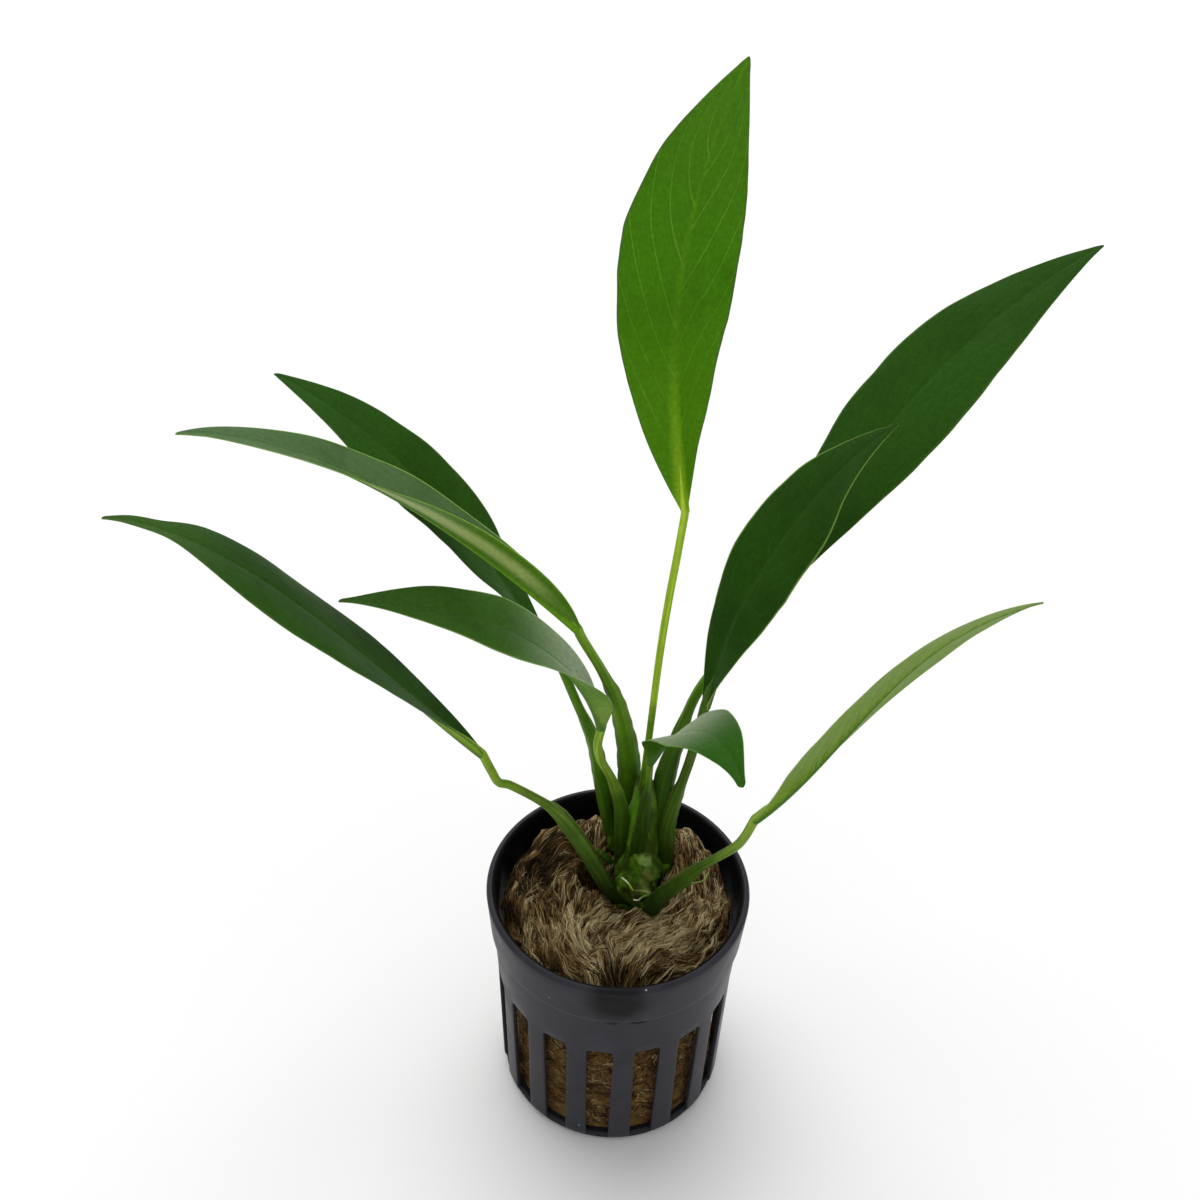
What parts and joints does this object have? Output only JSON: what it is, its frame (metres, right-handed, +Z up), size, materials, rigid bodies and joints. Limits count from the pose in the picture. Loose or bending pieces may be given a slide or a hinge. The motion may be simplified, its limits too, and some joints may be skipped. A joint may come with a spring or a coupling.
{
  "type": "potted aquarium plant",
  "caption": "Broad-leaved aquarium plant with a creeping rhizome, rooted in mineral wool in a slotted round net pot that stands on its flat floor.",
  "frame": {"origin": "middle of the underside of the pot's floor, on the pot's axis", "axes": "+Z up along the pot's axis; -Y is the front, where the ends of the wool strip meet in a notch"},
  "size_m": [0.1506, 0.088, 0.2042],
  "materials": {
    "pot": "moulded satin black polypropylene",
    "rock_wool": "matted brown mineral fibre",
    "rhizome": "smooth green plant tissue with scars",
    "petiole": "smooth green stalk",
    "blade": "leathery leaf with a waxy sheen",
    "root": "pale thin root"
  },
  "bodies": {
    "root": {"pot": "pot", "rock_wool": "rock_wool", "rhizome": "rhizome", "petiole_tall": "petiole", "petiole_far_right": "petiole", "petiole_mid_right": "petiole", "petiole_curled": "petiole", "petiole_low_right": "petiole", "petiole_upper_left": "petiole", "petiole_long_left": "petiole", "petiole_small_left": "petiole", "petiole_low_left": "petiole", "blade_tall": "blade", "blade_far_right": "blade", "blade_mid_right": "blade", "blade_curled": "blade", "blade_low_right": "blade", "blade_upper_left": "blade", "blade_long_left": "blade", "blade_small_left": "blade", "blade_low_left": "blade", "root_front": "root", "root_right": "root", "leaf_stub": "petiole"}
  },
  "joints": []
}
